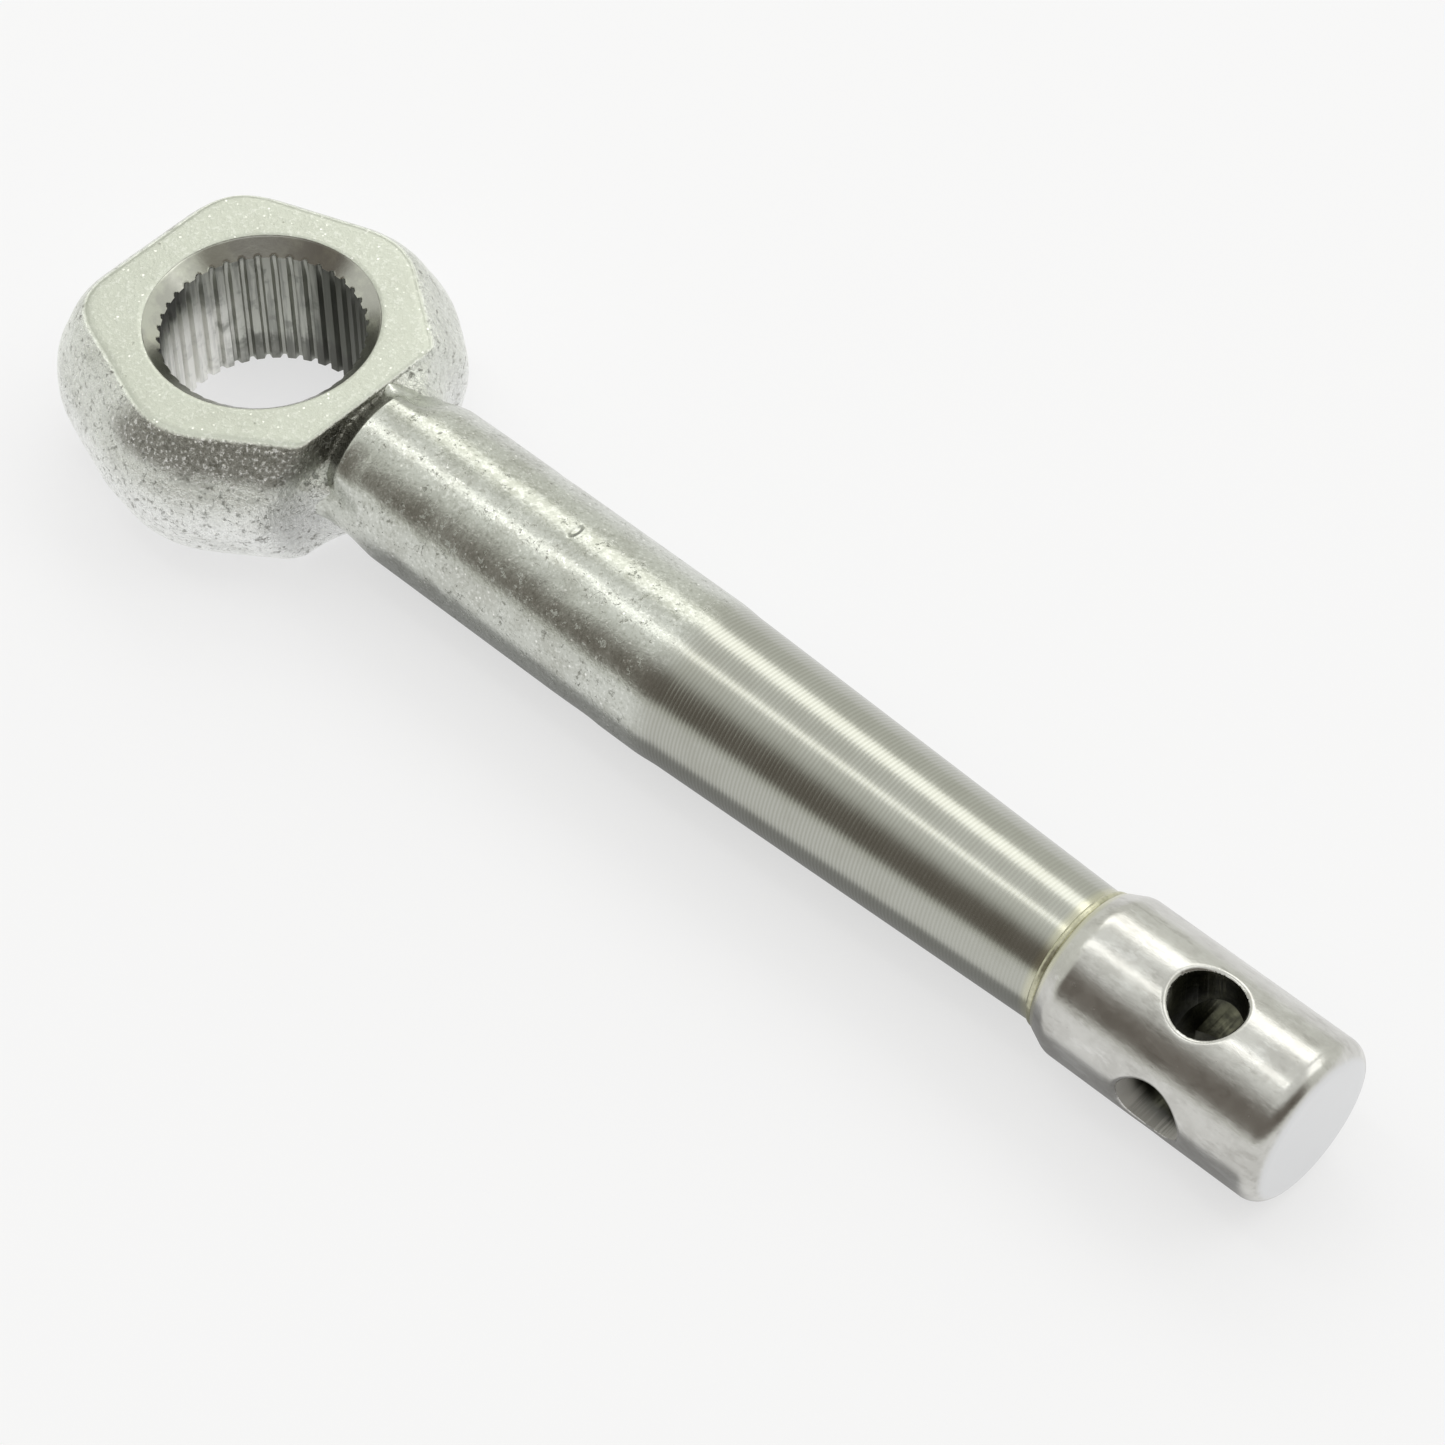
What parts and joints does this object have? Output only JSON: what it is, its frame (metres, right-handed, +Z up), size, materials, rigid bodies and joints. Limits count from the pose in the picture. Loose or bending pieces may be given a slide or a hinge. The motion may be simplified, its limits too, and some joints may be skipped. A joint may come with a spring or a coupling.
{
  "type": "string winder",
  "caption": "Short steel winding arm: a faceted forged eye with a serrated through bore, a tapering round shank and a polished barrel head with crossing holes",
  "frame": {"origin": "on the serrated bore's axis, level with the axis of the shank", "axes": "+Z up the bore towards its countersunk mouth; +X along the shank from the eye to the winding head; +Y across the arm"},
  "size_m": [0.1075, 0.0284, 0.0123],
  "materials": {
    "forged_steel": "forged, turned and bright plated",
    "polished_steel": "turned and polished",
    "braze": "plated over, satin"
  },
  "bodies": {
    "root": {"eye_arm": "forged_steel", "braze_ring": "braze", "winding_head": "polished_steel"}
  },
  "joints": []
}
